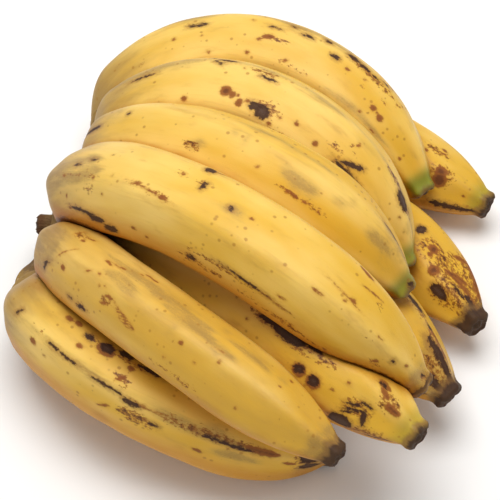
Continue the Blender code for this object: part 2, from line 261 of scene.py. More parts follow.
    "inner_finger_4": (
        ("soot", 0.650, -14, 15, 5, 12), ("soot", 0.690, -17, 18, 6.5), ("soot", 0.735, -10, 14, 3.5, -8),
        ("fleck", 0.70, -16, 54, 11), ("soot", 0.744, -43, 5.4, 5.2), ("soot", 0.781, -45, 6, 5.6),
        ("spot", 0.745, -44, 7.4, 6.8), ("spot", 0.781, -46, 7.8, 7.2), ("spot", 0.60, -30, 2, 1.6),
        ("soot", 0.868, -42, 7, 1.6, 20),
        ("soot", 0.874, -49, 9, 1.8, 20), ("soot", 0.866, -56, 6, 1.5, 25), ("soot", 0.89, -32, 6, 2),
        ("soot", 0.897, -54, 3, 8, 20), ("fleck", 0.88, -46, 16, 12), ("spot", 0.893, 15, 7, 5),
        ("soot", 0.890, 13, 4.5, 2.6),
        ("spot", 0.905, 2, 7, 3.2, -20), ("fleck", 0.92, -2, 14, 12), ("spot", 0.935, -10, 8, 4),
        ("soot", 0.86, -76, 12, 8), ("soot", 0.93, -100, 12, 7), ("fleck", 0.92, -96, 30, 16),
        ("rub", 0.90, -92, 40, 10), ("spot", 0.84, -20, 2, 1.6), ("spot", 0.82, -40, 2.2, 1.6),
    ),
    "inner_finger_5": (),
}

# Marks for the sides that lie away from the camera, strewn by chance: how many on each finger, and the
# least and most of each mark's length and width in mm.
STREWN = (("spot", 9, (1.5, 4), (1.4, 3.5)), ("fleck", 5, (6, 20), (4, 9)), ("soot", 5, (3, 14), (1.4, 3.4)),
          ("rub", 3, (14, 40), (4, 8)))
STREWN_SIDE = (75, 250)

# Both finishes: the height of a bump in metres, and a shine weaker than the usual 0.5.
BUMP_DEPTH = 0.0004
SHINE = 0.22

# For each finger: how far its first ridge is turned from its back in degrees, how green and how dark its
# tip is, how much of its end is dry in mm, how golden its peel is, and how much its wax is dulled.
Look = namedtuple("Look", "ridge_turn tip_green dry_length golden dull")

LOOKS = {
    "outer_finger_1": Look(-28, 0.9, 1.0, 0.30, 0.0),
    "outer_finger_2": Look(-14, 0.8, 1.0, 0.25, 0.0),
    "outer_finger_3": Look(8, 0.8, 1.2, 0.45, 0.0),
    "outer_finger_4": Look(-24, 0.0, 2.4, 0.40, 0.0),
    "outer_finger_5": Look(10, 0.0, 6.5, 0.66, 0.95),
    "outer_finger_6": Look(8, 0.0, 5.0, 0.50, 0.1),
    "inner_finger_1": Look(-25, 0.55, 3.4, 0.50, 0.0),
    "inner_finger_2": Look(-35, 0.0, 8.0, 0.70, 0.3),
    "inner_finger_3": Look(-20, 0.0, 7.0, 0.55, 0.4),
    "inner_finger_4": Look(-5, 0.45, 3.4, 0.45, 0.0),
    "inner_finger_5": Look(0, 0.3, 3.0, 0.60, 0.0),
}

# The peel's noises: waves per metre, how much longer they run along the finger, finer waves, their strength.
# A wave of cloudy is 18 mm, blotchy 5 mm, ragged 1.4 mm, streaky 1.1 mm, crumbly 0.7 mm and pores 0.26 mm.
# Real fibres and pores are finer. Streaky and pores are drawn as coarse as they need to be to show.
PEEL_PATTERNS = {
    "cloudy": (55, 2.5, 2, 0.55),
    "blotchy": (190, 3.0, 3, 0.55),
    "streaky": (900, 14.0, 4, 0.55),
    "ragged": (700, 1.6, 5, 0.68),
    "crumbly": (1500, 1.3, 4, 0.70),
    "pores": (3800, 1.0, 2, 0.55),
}

# What each point of a skin carries for the peel's colours.
PEEL_FIELDS = (
    "golden", "dull", "crest", "rub", "neck", "green", "under", "gap", "fleck", "spot", "soot", "dried",
    "marked",
)

# What lies over the yellow, from the bottom up: what a layer follows, where it starts, where it is full,
# how much it covers then, and its colour. The fields of the marks and seams are in mm.
PEEL_LAYERS = (
    # Fibres and drifting blotches.
    ({"streaky": 1}, 0.52, 0.80, 0.20, "#DBAA44"),
    ({"blotchy": 1}, 0.58, 0.80, 0.30, "#CB9838"),
    # Tan rubbing along the crests, and the placed rubbed patches with darker crumbs in them.
    ({"crest": 2.2, "blotchy": 2.6, "streaky": 1.6}, 3.7, 5.0, 0.30, "#C2954E"),
    ({"dull": 1, "blotchy": 1.2, "cloudy": 0.8}, 0.9, 2.2, 0.42, "#B98E46"),
    ({"rub": 1, "blotchy": 8, "streaky": 2.5}, 3.4, 8.6, 0.38, "#A38148"),
    ({"rub": 1, "blotchy": 8, "streaky": 2.5, "crumbly": 7}, 9.6, 13.2, 0.32, "#7A6040"),
    # The neck's tan-grey, carried on past the neck, where it also paints the shade of the ends that bend down,
    # and the green that is left at some tips.
    ({"neck": 1, "blotchy": 0.6}, 0.30, 1.30, 0.78, "#96733F"),
    ({"green": 1}, 0.0, 1.0, 1.0, "#83872A"),
    # Painted shade: undersides deepen to amber, more so low in the seams, and the seams turn dark brown where
    # two fingers touch.
    ({"under": 1, "blotchy": 0.3}, 0.22, 1.10, 0.66, "#C98012"),
    ({"gap": 1, "blotchy": -8}, 6.0, -3.5, 0.80, "#B8700F"),
    ({"gap": 1, "ragged": -7}, -1.1, -3.3, 0.85, "#5E300C"),
    # Freckles: small brown dots in the peel itself.
    ({"dot": 1}, -0.14, 0.10, 0.60, "#A56E28"),
    # Flecks: crumbs of bruise that gather in patches.
    ({"fleck": 1, "ragged": 16, "blotchy": 6}, 12.9, 14.4, 0.80, "#9A5C20"),
    ({"fleck": 1, "ragged": 17, "blotchy": 6}, 15.2, 16.4, 0.85, "#54301A"),
    # Spots: a stained halo, the brown spot, its darker middle.
    ({"spot": 1, "ragged": 3.0}, 0.2, 2.6, 0.55, "#C0822A"),
    ({"spot": 1, "ragged": 2.4}, 0.9, 1.9, 0.92, "#8F5222"),
    ({"spot": 1, "ragged": 2.4}, 2.2, 3.6, 0.75, "#5E331C"),
    # Soot: a halo, the near black mark, and dust in it.
    ({"soot": 1, "ragged": 4}, -0.4, 3.0, 0.70, "#96602A"),
    ({"soot": 1, "ragged": 5}, 2.1, 3.1, 0.94, "#3C241A"),
    ({"soot": 1, "pores": 7}, 4.8, 6.6, 0.45, "#6A5648"),
    # The dry tip: brown, then nearly black.
    ({"dried": 1, "ragged": 3}, -1.2, 2.2, 0.80, "#7C5A34"),
    ({"dried": 1, "streaky": 3}, 2.2, 4.6, 0.90, "#3E2A20"),
)

# The same for the crown, whose noises run long along X. A wave of patchy is 7 mm, fibres 1.4 mm and
# grain 0.4 mm. Real fibres are finer, and these are drawn as coarse as they need to be to show.
CROWN_PATTERNS = {
    "patchy": (140, 1.0, 4, 0.6),
    "fibres": (700, 8.0, 4, 0.6),
    "grain": (2600, 3.3, 2, 0.6),
}
CROWN_LAYERS = (
    ({"patchy": 1}, 0.35, 0.65, 1.0, "#8D6D3A"),
    ({"neck": 1, "patchy": 0.8}, 0.5, 1.3, 0.9, "#A3803F"),
    ({"patchy": 1}, 0.60, 0.78, 0.5, "#7F7A35"),
    ({"fibres": 1}, 0.52, 0.72, 0.65, "#4A3320"),
    ({"grain": 1}, 0.60, 0.75, 0.4, "#C0A068"),
    ({"cut": 1, "patchy": 1.6}, 1.2, 2.6, 0.85, "#5A3A22"),
    ({"cut": 1, "patchy": 1.6}, 2.6, 3.6, 0.9, "#33231A"),
)


def smooth_step(low, high, x):
    """Rises from 0 at LOW to 1 at HIGH, level at both; LOW above HIGH makes it fall."""
    t = np.clip((x - low) / (high - low), 0, 1)
    return t * t * (3 - 2 * t)


def girth_along(finger, s):
    """Radius at the fraction s of the length: narrow neck, full body, taper to a short blunt tip."""
    neck = NECK_RADIUS + (1 - NECK_RADIUS) * smooth_step(0.01, NECK_END, s)
    taper = 1 - TAPER_DEPTH * np.clip((s - TAPER_START) / TAPER_LENGTH, 0, 1.2) ** 2.4
    blunt = (taper + TIP_RADIUS + np.sqrt((taper - TIP_RADIUS) ** 2 + TIP_BLEND**2)) / 2
    return finger.girth * neck * blunt


class Centreline:
    """A finger's bent middle line, worked out finely once and read back at any fraction of its length."""

    SAMPLES = 241

    def __init__(self, finger):
        heading, tilt, lean = radians(finger.heading), radians(finger.tilt), radians(finger.lean)
        along = np.array([cos(heading) * cos(tilt), sin(heading) * cos(tilt), sin(tilt)])
        aside = np.array([-sin(heading), cos(heading), 0.0])
        above = np.cross(along, aside)
        back = cos(lean) * above + sin(lean) * aside
        self.s = np.linspace(0, 1, self.SAMPLES)
        self.side = np.cross(back, along)
        angle = np.radians(finger.droop + (finger.rise - finger.droop) * (1 - self.s) ** finger.curl)
        self.forward = np.outer(np.cos(angle), along) + np.outer(np.sin(angle), back)
        self.outward = np.outer(-np.sin(angle), along) + np.outer(np.cos(angle), back)
        steps = (self.forward[1:] + self.forward[:-1]) / 2 * finger.length / (self.SAMPLES - 1)
        self.points = np.vstack([np.zeros(3), np.cumsum(steps, axis=0)]) + finger.root + PLACE
        links = np.linspace(0, 1, round(finger.length / LINK_SPACING))
        self.links = self.at(links, self.points)
        self.link_radii = girth_along(finger, links)

    def at(self, s, rows):
        """One of the line's arrays read at the fractions s."""
        return np.stack([np.interp(s, self.s, rows[:, axis]) for axis in range(3)], axis=-1)


def outside_of(points, centres, radii):
    """How far points are outside a chain of cones that joins balls at the centres: the distance to each
    link's nearest place, less the radius there, and the least of these. It is negative inside."""
    start, run = centres[:-1], np.diff(centres, axis=0)
    away = points[..., None, :] - start
    share = np.clip((away * run).sum(-1) / (run * run).sum(-1), 0, 1)
    gap = np.linalg.norm(away - share[..., None] * run, axis=-1)
    return (gap - radii[:-1] - share * np.diff(radii)).min(axis=-1)


def lumps(s, angle, phase):
    """Slow unevenness of a grown skin, as a share of the radius: four waves that wind along the finger
    at different pitches, shifted for each finger."""
    return -0.006 + (
        0.0055 * np.sin(2 * pi * 1.7 * s + angle + phase)
        + 0.0045 * np.sin(2 * pi * 3.3 * s - 2 * angle + 2.1 * phase)
        + 0.0030 * np.sin(2 * pi * 6.1 * s + 3 * angle + 3.7 * phase)
        + 0.0020 * np.sin(2 * pi * 11.3 * s + 5 * angle + 5.3 * phase)
    )


def ridge_phase(s, angle, finger, phase):
    """Where a place sits between ridges: 0 on a crest and pi in a valley. Five ridges wander a little."""
    wander = 0.10 * np.sin(2 * pi * s + phase)
    return RIDGES * (angle - radians(LOOKS[finger.name].ridge_turn) + wander)


def ridged(s, angle, finger, phase):
    """A section's radius around a finger: five soft ridges, which stand higher on the neck and near the
    tip, where the body is thin."""
    turned = ridge_phase(s, angle, finger, phase)
    thin = 1.5 * smooth_step(0.80, 0.95, s) + 1.0 * (1 - smooth_step(0.03, NECK_END, s))
    return 1 + RIDGE_HEIGHT * (1 + thin) * np.cos(turned) + 0.010 * np.cos(2 * turned)


def tip_shape(s):
    """A pinch before the tip and a flare at its rim, as a factor of the girth: two bell curves."""
    return 1 - 0.04 * np.exp(-(((s - 0.972) / 0.010) ** 2)) + 0.05 * np.exp(-(((s - 0.993) / 0.008) ** 2))


def skin_at(finger, line, s, angle, share, phase):
    """Points at fractions s of the length and angles around it: the middle line plus a radius turned
    from the back towards the side. A share of 1 is the skin, and less is nearer the middle."""
    uneven = ridged(s, angle, finger, phase) + lumps(s, angle, phase)
    radius = share * girth_along(finger, s) * tip_shape(s) * uneven
    around = np.cos(angle)[..., None] * line.at(s, line.outward) + np.sin(angle)[..., None] * line.side
    return line.at(s, line.points) + radius[..., None] * around


def press(finger, line, others, phase):
    """How far each skin point is pressed towards the middle, as a share of its radius, and how far it then
    is from the nearest neighbour, on the coarse grid. A point sinks until it is as far outside its own
    round body as it is outside its neighbour's."""
    s = np.linspace(0, 1, PRESS_ROWS)[:, None]
    angle = np.linspace(0, 2 * pi, PRESS_COLUMNS, endpoint=False)[None, :]
    s, angle = np.broadcast_arrays(s, angle)
    skin = skin_at(finger, line, s, angle, 1.0, phase)
    middle = line.at(s, line.points)
    reach = np.linalg.norm(middle - skin, axis=-1)
    inward = (middle - skin) / reach[..., None]
    depth = np.zeros_like(reach)
    near = [o for o in others if outside_of(o.links, line.links, line.link_radii + 0.025).min() < 0]
    for _ in range(PRESSES):
        points = skin + depth[..., None] * inward
        own = outside_of(points, line.links, line.link_radii)
        excess = np.zeros_like(reach)
        for other in near:
            theirs = outside_of(points, other.links, other.link_radii)
            excess = np.maximum(excess, (own - theirs + PRESS_GAP) / 2)
        depth = np.clip(depth + np.maximum(excess, -depth), 0, 0.75 * reach)
    points = skin + depth[..., None] * inward
    gaps = [outside_of(points, other.links, other.link_radii) for other in near]
    return depth / reach, np.clip(np.min(gaps, axis=0), 0, 0.02)


def spread_weights(fine, coarse, spacing, wrap=None):
    """Weights that carry values from coarse places to fine ones: a bell curve of the distance between
    them, 0.7 of the coarse spacing wide, and each row adds up to 1."""
    gap = fine[:, None] - coarse[None, :]
    if wrap:
        gap = (gap + wrap / 2) % wrap - wrap / 2
    weights = np.exp(-0.5 * (gap / (0.7 * spacing)) ** 2)
    return weights / weights.sum(axis=1, keepdims=True)


def skin_mesh(name, rings, first, last, fields):
    """A closed object over rings of points, with a fan of faces to one point at each end. Its faces point
    outwards where rings go forward and columns turn from the back to the side. FIELDS are attributes
    that hold one value or vector for each ring point."""
    rows, columns = rings.shape[:2]
    points = np.concatenate([rings.reshape(-1, 3), [first, last]])
    index = np.arange(rows * columns).reshape(rows, columns)
    turned = np.roll(index, -1, axis=1)
    quads = np.stack([index[:-1], index[1:], turned[1:], turned[:-1]], axis=-1).reshape(-1, 4)
    start, end = rows * columns, rows * columns + 1
    fans = [(start, a, b) for a, b in zip(index[0], turned[0])]
    fans += [(end, b, a) for a, b in zip(index[-1], turned[-1])]
    mesh = bpy.data.meshes.new(name)
    mesh.from_pydata(points.tolist(), [], quads.tolist() + [[int(i) for i in fan] for fan in fans])
    mesh.shade_smooth()
    for field, values in fields.items():
        flat = values.reshape(rows * columns, -1)
        ends = np.stack([flat[:columns].mean(axis=0), flat[-columns:].mean(axis=0)])
        kind, slot = ("FLOAT_VECTOR", "vector") if flat.shape[1] == 3 else ("FLOAT", "value")
        attribute = mesh.attributes.new(field, kind, "POINT")
        attribute.data.foreach_set(slot, np.concatenate([flat, ends]).astype(np.float32).ravel())
    piece = bpy.data.objects.new(name, mesh)
    bpy.context.scene.collection.objects.link(piece)
    return piece


def keep(piece, node, material):
    """The piece stands for its solid, rides on the hand's one body and takes its finish from a slot."""
    piece.data.materials.append(material)
    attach(piece, "root")
    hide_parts(node)


def linear(code):
    """An sRGB hex colour as linear red, green and blue."""
    parts = [int(code[i : i + 2], 16) / 255 for i in (1, 3, 5)]
    return tuple(p / 12.92 if p <= 0.04045 else ((p + 0.055) / 1.055) ** 2.4 for p in parts)


def add(tree, kind, inputs=None, **settings):
    """Adds a node, with its settings, and its inputs given as values or as outputs to link from."""
    node = tree.nodes.new(kind)
    for name, value in settings.items():
        setattr(node, name, value)
    for name, value in (inputs or {}).items():
        if isinstance(value, NodeSocket):
            tree.links.new(value, node.inputs[name])
        else:
            node.inputs[name].default_value = value
    return node


def finish(tree, colour, roughness, bump, strength, subsurface=0.0):
    """Joins a colour, a roughness and a bump height to a shader and the material's output."""
    surface = add(tree, "ShaderNodeBump", {"Height": bump, "Strength": strength, "Distance": BUMP_DEPTH})
    shader = add(
        tree,
        "ShaderNodeBsdfPrincipled",
        {
            "Base Color": colour,
            "Roughness": roughness,
            "Normal": surface.outputs[0],
            "Specular IOR Level": SHINE,
            "Subsurface Weight": subsurface,
            "Subsurface Radius": (0.004, 0.002, 0.0006),
            "Subsurface Scale": 1.0,
        },
    )
    add(tree, "ShaderNodeOutputMaterial", {"Surface": shader.outputs[0]})


def weighed(tree, sources, terms):
    """The sum of each named source times its amount. The name "plain" is a number on its own."""
    total = terms.get("plain", 0.0)
    for name, amount in terms.items():
        if name != "plain":
            inputs = {0: sources[name], 1: amount, 2: total}
            total = add(tree, "ShaderNodeMath", inputs, operation="MULTIPLY_ADD").outputs[0]
    return total


def painted(tree, sources, ground, layers):
    """Colours laid over the GROUND one by one. Each layer has the weighed terms that it follows, where it
    starts and where it is full, how much it covers then, and its colour."""
    colour = ground
    for terms, start, full, cover, code in layers:
        value = weighed(tree, sources, terms)
        inputs = {"Value": value, "From Min": start, "From Max": full, "To Max": cover}
        mask = add(tree, "ShaderNodeMapRange", inputs, interpolation_type="SMOOTHSTEP").outputs[0]
        top = (*linear(code), 1) if isinstance(code, str) else code
        colour = add(tree, "ShaderNodeMix", {0: mask, 6: colour, 7: top}, data_type="RGBA").outputs[2]
    return colour


def grown(tree, place, patterns):
    """Noises by name. Each is waves per metre, how much longer they run along the first axis of PLACE, how
    many finer waves are added, and how strong those are."""
    noises = {}
    for name, (waves, stretch, detail, strength) in patterns.items():
        turned = add(tree, "ShaderNodeMapping", {"Vector": place, "Scale": (1 / stretch, 1, 1)}).outputs[0]
        inputs = {"Vector": turned, "Scale": waves, "Detail": detail, "Roughness": strength}
        noises[name] = add(tree, "ShaderNodeTexNoise", inputs).outputs["Fac"]
    return noises


def peel_material():
    """Ripe plantain peel, as it grew: a thin wax gives a broad soft sheen, and a little light sinks into
    the flesh. The yellow slips from pale to gold, under long faint fibres, freckles, tan ridge crests,
    painted shade (a little more gold between the ridges, a longer tan neck, amber undersides, amber to
    dark brown seams), the placed marks, and a dry brown tip. Marks are rougher than the wax around them."""
    found = bpy.data.materials.get("Ripe plantain peel")
    if found:
        return found
    material = bpy.data.materials.new("Ripe plantain peel")
    material.use_nodes = True
    tree = material.node_tree
    tree.nodes.clear()
    peel = bpy.context.scene.plantain_peel
    unbent = add(tree, "ShaderNodeAttribute", attribute_name="unbent").outputs["Vector"]
    sources = {}
    for name in PEEL_FIELDS:
        sources[name] = add(tree, "ShaderNodeAttribute", attribute_name=name).outputs["Fac"]
    sources |= grown(tree, unbent, PEEL_PATTERNS)

    # Freckles: the cells of a pattern 3 mm wide, each with a dot where its own chance is low.
    cells = add(tree, "ShaderNodeTexVoronoi", {"Vector": unbent, "Scale": 330})
    sources["chance"] = add(tree, "ShaderNodeSeparateColor", {0: cells.outputs["Color"]}).outputs[0]
    size = weighed(tree, sources, {"cloudy": 1.2, "chance": -1.8, "plain": -0.22})
    size = add(tree, "ShaderNodeMath", {0: size, 1: 0.24}, operation="MINIMUM").outputs[0]
    dot = add(tree, "ShaderNodeMath", {0: size, 1: cells.outputs["Distance"]}, operation="SUBTRACT")
    sources["dot"] = dot.outputs[0]

    # Pale to gold in slow clouds, more gold on golden fingers; the small crest term is painted shade, a little
    # more gold between the ridges than on them.
    drift = ({"cloudy": 1.6, "golden": 0.9, "crest": -0.14, "plain": -0.75}, 0.0, 1.0, 1.0, (*peel.gold, 1))
    colour = painted(tree, sources, (*peel.pale, 1), (drift, *PEEL_LAYERS))
    roughness = weighed(tree, sources, {"plain": 0.38, "streaky": 0.12, "marked": 0.22})
    cracks = add(tree, "ShaderNodeMath", {0: sources["crumbly"], 1: sources["marked"]}, operation="MULTIPLY")
    sources["cracks"] = cracks.outputs[0]
    height = weighed(tree, sources, {"streaky": 0.6, "pores": 0.5, "cracks": 1.2})
    finish(tree, colour, roughness, height, 0.35, 0.12)
    return material


def marks_of(finger, seed):
    """The finger's placed marks, then its strewn ones."""
    yield from (Mark(*values) for values in MARKS[finger.name])
    chance = np.random.default_rng(seed)
    for kind, count, longs, wides in STREWN:
        for _ in range(count):
            around = chance.uniform(*STREWN_SIDE)
            turn = chance.uniform(-35, 35)
            along = chance.uniform(0.14, 0.95)
            long, wide = chance.uniform(*longs), chance.uniform(*wides)
            yield Mark(kind, along, around, long, wide, turn)


def depth_in(mark, finger, s, angle):
    """How many mm a place is inside a mark, negative outside: the near distance to an ellipse laid on the
    unrolled skin, k (1 - k) / g, where k is 1 on its edge and g is how fast k changes."""
    away = (angle - radians(mark.around) + pi) % (2 * pi) - pi
    x = (s - mark.along) * finger.length / MM
    y = away * girth_along(finger, mark.along) / MM
    turn = radians(mark.turn)
    half_long, half_wide = mark.long / 2, mark.wide / 2
    u = (x * cos(turn) + y * sin(turn)) / half_long
    v = (y * cos(turn) - x * sin(turn)) / half_wide
    k = np.hypot(u, v)
    g = np.hypot(u / half_long, v / half_wide)
    return np.minimum(k * (1 - k) / np.maximum(g, 1e-6), min(half_long, half_wide))


def mark_fields(finger, s, angle, seed):
    """For each kind of mark, mm inside the nearest one, from -3 away from them all up to 3."""
    fields = {kind: np.full(s.shape, -3.0) for kind in ("spot", "soot", "fleck", "rub")}
    for mark in marks_of(finger, seed):
        fields[mark.kind] = np.maximum(fields[mark.kind], depth_in(mark, finger, s, angle))
    return {kind: np.minimum(depth, 3.0) for kind, depth in fields.items()}


def build_finger(finger, everyone, phase):
    """One finger's skin: rows run from inside the crown to the tip, bunched where it bends most, then over
    the rim and across the cut face at the tip, which is a shallow dish with a low knob in it."""
    line = everyone[finger.name]
    look = LOOKS[finger.name]
    others = [other for name, other in everyone.items() if name != finger.name]
    body = np.linspace(0, 1, ROWS)
    body = body - np.sin(2 * pi * body) / (5 * pi)
    inward = np.linspace(0, 0.93, CAP_ROWS + 1)[1:]
    s = np.concatenate([body, np.ones(CAP_ROWS)])
    inset = np.concatenate([np.zeros(ROWS), inward])
    angle = np.linspace(0, 2 * pi, COLUMNS, endpoint=False)
    s, angle = np.meshgrid(s, angle, indexing="ij")
    inset = np.broadcast_to(inset[:, None], s.shape)
    along = spread_weights(s[:, 0], np.linspace(0, 1, PRESS_ROWS), 1 / (PRESS_ROWS - 1))
    around = spread_weights(
        angle[0], np.linspace(0, 2 * pi, PRESS_COLUMNS, endpoint=False), 2 * pi / PRESS_COLUMNS, 2 * pi
    )
    pressed, gap = (along @ coarse @ around.T for coarse in press(finger, line, others, phase))
    seed = round(10 * phase)
    fields = mark_fields(finger, s, angle, seed)
    rim = smooth_step(0, 1, (1 - s) / 0.012)
    share = (1 - pressed) * (0.80 + 0.20 * np.sqrt(1 - (1 - rim) ** 2)) * (1 - inset)
    points = skin_at(finger, line, s, angle, share, phase)
    girth = girth_along(finger, s)
    sunk = 0.18 * smooth_step(0.2, 1.6, fields["soot"]) + 0.10 * smooth_step(0.6, 2.2, fields["spot"])
    outward = points - line.at(s, line.points)
    reach = np.maximum(np.linalg.norm(outward, axis=-1, keepdims=True), 1e-6)
    points -= sunk[..., None] * MM * outward / reach
    dish = np.sin(pi * np.clip(inset / 0.7, 0, 1)) - 0.6 * smooth_step(0.6, 0.95, inset)
    ragged = 0.25 * np.sin(3 * angle + phase) + 0.18 * np.sin(7 * angle + 2 * phase)
    end = -0.9 * dish + ragged * (1 - rim) * (1 - inset)
    points += (end * MM)[..., None] * line.at(s, line.forward)
    points[..., 2] = np.maximum(points[..., 2], 0)
    fields["unbent"] = np.stack(
        [s * finger.length + 0.3 * phase, girth * np.cos(angle), girth * np.sin(angle)], axis=-1
    )
    # 1 on a crest and -1 in a valley: it places the tan rubbing, and the painted shade between the ridges.
    fields["crest"] = np.cos(ridge_phase(s, angle, finger, phase))
    up = outward[..., 2] / reach[..., 0]
    # Painted seam shade: mm from the nearest neighbour, raised by up to 5 where the skin faces up, so the
    # painted shade sits low in the seams.
    fields["gap"] = gap / MM + 5 * smooth_step(-0.3, 0.9, up) - 1.5
    tip = (1 - s) * finger.length / MM
    fields["dried"] = look.dry_length - tip + 8 * inset + 0.8 * np.sin(5 * angle + phase)
    fields["green"] = look.tip_green * smooth_step(16, 5, tip)
    # The neck's own tan-grey, running to a third of the length, where it is also painted shade on the ends
    # that bend down.
    fields["neck"] = 1 - smooth_step(0.08, 0.34, s)
    # Painted shade: rises as the skin turns to face down.
    fields["under"] = smooth_step(0.55, -0.35, up)
    fields["golden"] = look.golden - 0.12 + 0.42 * smooth_step(0.25, 0.85, s)
    fields["dull"] = np.full(s.shape, look.dull)
    darkest = np.max([fields[name] for name in ("soot", "spot", "dried")], axis=0)
    fields["marked"] = smooth_step(-0.5, 1.0, darkest)
    piece = skin_mesh(finger.name + "_skin", points, line.points[0], points[-1].mean(axis=0), fields)
    keep(piece, finger.name, peel_material())


def build_row(row, first_phase):
    """Each finger of a row. The phase shifts its lumps and seeds its strewn marks, and differs for each."""
    everyone = {finger.name: Centreline(finger) for finger in OUTER_ROW + INNER_ROW}
    for place, finger in enumerate(row):
        build_finger(finger, everyone, first_phase + 1.3 * place)


def crown_line():
    """The crown's arc as fine points with radii, its corners worn smooth by averaging each with its
    neighbours."""
    knots = np.array(CROWN_ARC)
    knots[:, :3] += PLACE
    at = np.linspace(0, len(knots) - 1, ARC_POINTS)
    fine = np.stack([np.interp(at, np.arange(len(knots)), knots[:, axis]) for axis in range(4)], axis=-1)
    for _ in range(ARC_SMOOTHINGS):
        fine[1:-1] = (fine[:-2] + 2 * fine[1:-1] + fine[2:]) / 4
    return fine[:, :3], fine[:, 3]


def crown_bodies(centres, radii):
    """The round bodies the crown is blended from: its own arc, and the base of each finger's neck, which
    ends just under the finger's skin."""
    bodies = [(centres[::4], radii[::4])]
    reach = np.linspace(0, 0.11, 6)
    for finger in OUTER_ROW + INNER_ROW:
        line = Centreline(finger)
        shares = np.linspace(1.10, 0.90, len(reach))
        bodies.append((line.at(reach, line.points), girth_along(finger, reach) * shares))
    return bodies


def blended(points, bodies):
    """How far points are outside all the bodies melted together: -k log(sum of exp(-d / k)), where d is
    the distance outside each and k is how softly they join."""
    total = sum(np.exp(-outside_of(points, *body) / CROWN_SOFTNESS) for body in bodies)
    return -CROWN_SOFTNESS * np.log(total)


def build_crown():
    """The crown: rays leave its arc in rings, with half a dome of rays past each end, and each ray walks
    outwards until it is out of the blended bodies. Fibres and lumps are waves around and along it."""
    centres, radii = crown_line()
    at = np.linspace(0, len(centres) - 1, CROWN_ROWS)
    axis = np.stack([np.interp(at, np.arange(len(centres)), centres[:, i]) for i in range(3)], axis=-1)
    ahead = np.gradient(axis, axis=0)
    ahead /= np.linalg.norm(ahead, axis=1, keepdims=True)
    last = CROWN_ROWS - 1
    opening, closing = np.linspace(-88, 0, DOME_ROWS), np.linspace(0, 88, DOME_ROWS)
    bend = np.concatenate([opening, np.zeros(last - 1), closing])
    index = np.concatenate([np.zeros(DOME_ROWS, int), np.arange(1, last), np.full(DOME_ROWS, last)])
    bend = np.radians(bend)[:, None, None]
    axis, ahead = axis[index][:, None, :], ahead[index][:, None, :]
    level = np.cross(ahead, (0, 0, 1))
    level /= np.linalg.norm(level, axis=-1, keepdims=True)
    angle = np.linspace(0, 2 * pi, CROWN_COLUMNS, endpoint=False)[None, :, None]
    ray = np.cos(angle) * level + np.sin(angle) * np.cross(level, ahead)
    ray = np.cos(bend) * ray + np.sin(bend) * ahead
    bodies = crown_bodies(centres, radii)
    out = np.full(ray.shape[:2], 0.004)
    for _ in range(RAY_STEPS):
        short = blended(axis + out[..., None] * ray, bodies)
        out = np.clip(out - 0.9 * short, RAY_SHORTEST, RAY_LONGEST)
    points = axis + out[..., None] * ray
    turn = np.broadcast_to(angle[..., 0], out.shape)
    way = np.linspace(0, 1, len(out))[:, None]
    uneven = 0.35 * np.sin(9 * turn + 14 * way) + 0.25 * np.sin(31 * way + 4 * turn)
    uneven = uneven + 0.12 * np.sin(67 * way)
    points += (uneven * MM)[..., None] * ray
    points[..., 2] = np.maximum(points[..., 2], 0)
    outside = outside_of(points, centres[::4], radii[::4])
    fields = {"neck": smooth_step(0.001, 0.008, outside), "cut": np.zeros(out.shape)}
    piece = skin_mesh("crown_pad", points, points[0].mean(axis=0), points[-1].mean(axis=0), fields)
    keep(piece, "crown", crown_material())


def build_stub():
    """The stub of stalk: a round stem that swells into the crown, ribbed with fibres, and a cut end that
    is a shallow dish with torn fibres in it."""
    start, end = np.array(STUB_START) + PLACE, np.array(STUB_END) + PLACE
    run = end - start
    length = np.linalg.norm(run)
    run /= length
    level = np.cross(run, (0, 0, 1))
    level /= np.linalg.norm(level)
    along = np.concatenate([np.linspace(0, 1, STUB_ROWS), np.ones(STUB_CAP_ROWS)])[:, None]
    across = np.linspace(0, 0.95, STUB_CAP_ROWS + 1)[1:]
    inset = np.concatenate([np.zeros(STUB_ROWS), across])[:, None]
    angle = np.linspace(0, 2 * pi, STUB_COLUMNS, endpoint=False)[None, :]
    swell = 1 + 0.9 * smooth_step(0.75, 0.2, along) + 0.06 * smooth_step(0.85, 0.97, along)
    ribs = 1 + 0.03 * np.sin(11 * angle) + 0.02 * np.sin(23 * angle + 5 * along) + 0.03 * np.cos(3 * angle + 1)
    rim = smooth_step(1, 0.86, along)
    radius = 0.93 * STUB_RADIUS * swell * ribs * (0.70 + 0.30 * np.sqrt(1 - (1 - rim) ** 2)) * (1 - inset)
    torn = 0.25 * np.sin(7 * angle + 9 * inset) + 0.2 * np.sin(13 * angle - 25 * inset)
    depth = (-0.9 * np.sin(pi * np.clip(inset / 0.8, 0, 1)) + torn * smooth_step(0.9, 1, along)) * MM
    round_it = np.cos(angle)[..., None] * level + np.sin(angle)[..., None] * np.cross(level, run)
    points = start + (along * (length - 0.5 * MM) + depth)[..., None] * run + radius[..., None] * round_it
    cut = 7 * (along - 0.66) * np.ones_like(angle) + 2 * inset
    fields = {"neck": np.zeros_like(cut), "cut": cut}
    piece = skin_mesh("crown_stub", points, start, points[-1].mean(axis=0), fields)
    keep(piece, "crown", crown_material())


